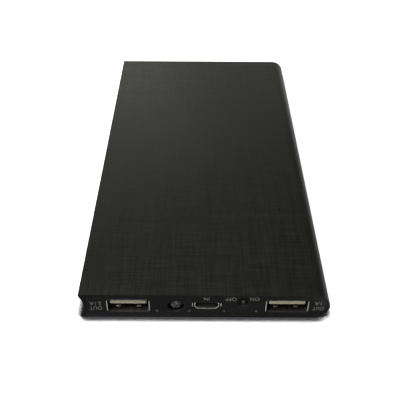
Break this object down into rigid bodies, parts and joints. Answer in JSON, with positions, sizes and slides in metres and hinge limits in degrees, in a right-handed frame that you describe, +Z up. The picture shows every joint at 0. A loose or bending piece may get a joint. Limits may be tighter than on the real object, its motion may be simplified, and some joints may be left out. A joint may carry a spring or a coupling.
{
  "type": "portable power bank",
  "caption": "Slim book-shaped portable battery: black extruded aluminium sleeve with a round spine, end cap with charging sockets, torch lamp, indicator lights and on-off slide switch.",
  "frame": {"origin": "middle of the face the case lies on", "axes": "+X across the case towards the round spine, +Y along the case away from the sockets, +Z up through its thickness"},
  "size_m": [0.076, 0.146, 0.0102],
  "materials": {
    "anodised_case": "black anodised, fine lengthwise grain",
    "cap_plastic": "fine satin moulded black",
    "board": "green solder mask",
    "screw_steel": "zinc plated",
    "socket_steel": "nickel-plated pressed steel",
    "tongue_plastic": "warm off-white moulded",
    "inlet_plastic": "black moulded",
    "contact_gold": "gold flashed",
    "clear_lens": "clear moulded resin",
    "tinned_lead": "tin plated",
    "light_pipe": "milky translucent",
    "switch_plastic": "black moulded",
    "knob_plastic": "black moulded, satin",
    "cell_pouch": "crinkled foil laminate",
    "cell_tab": "rolled strip",
    "red_insulation": "silicone insulation",
    "black_insulation": "silicone insulation",
    "tape": "double-sided tissue tape",
    "foam": "open-cell foam",
    "paper": "insulating card",
    "ferrite": "sintered ferrite",
    "copper": "enamelled copper",
    "chip_resin": "moulded epoxy",
    "capacitor": "tan ceramic"
  },
  "bodies": {
    "case": {"case_sleeve": "anodised_case", "front_cap": "cap_plastic", "rear_cap": "cap_plastic", "circuit_board": "board", "board_screws": "screw_steel", "left_socket_shell": "socket_steel", "left_socket_tongue": "tongue_plastic", "left_socket_contacts": "contact_gold", "right_socket_shell": "socket_steel", "right_socket_tongue": "tongue_plastic", "right_socket_contacts": "contact_gold", "inlet_shell": "socket_steel", "inlet_tongue": "inlet_plastic", "inlet_contacts": "contact_gold", "torch_lamp": "clear_lens", "torch_leads": "tinned_lead", "indicator_pips": "light_pipe", "indicator_lamps": "light_pipe", "switch_base": "switch_plastic", "switch_cover": "socket_steel", "switch_pins": "tinned_lead", "left_cell": "cell_pouch", "right_cell": "cell_pouch", "left_cell_tabs": "cell_tab", "right_cell_tabs": "cell_tab", "red_leads": "red_insulation", "black_leads": "black_insulation", "cell_tape": "tape", "foam_pads": "foam", "rear_bumper": "foam", "tab_paper": "paper", "floor_paper": "paper", "coil_core": "ferrite", "coil_winding": "copper", "boost_chip": "chip_resin", "boost_chip_legs": "tinned_lead", "control_chip": "chip_resin", "control_chip_legs": "tinned_lead", "guard_chips": "chip_resin", "output_switches": "chip_resin", "ceramic_capacitors": "capacitor", "resistors": "chip_resin"},
    "switch_slider": {"switch_knob": "knob_plastic", "switch_wiper": "contact_gold"}
  },
  "joints": [
    {"name": "switch_slide", "type": "slide", "parent": "case", "child": "switch_slider", "axis": [1, 0, 0], "range_m": [-0.00065, 0.00065]}
  ]
}
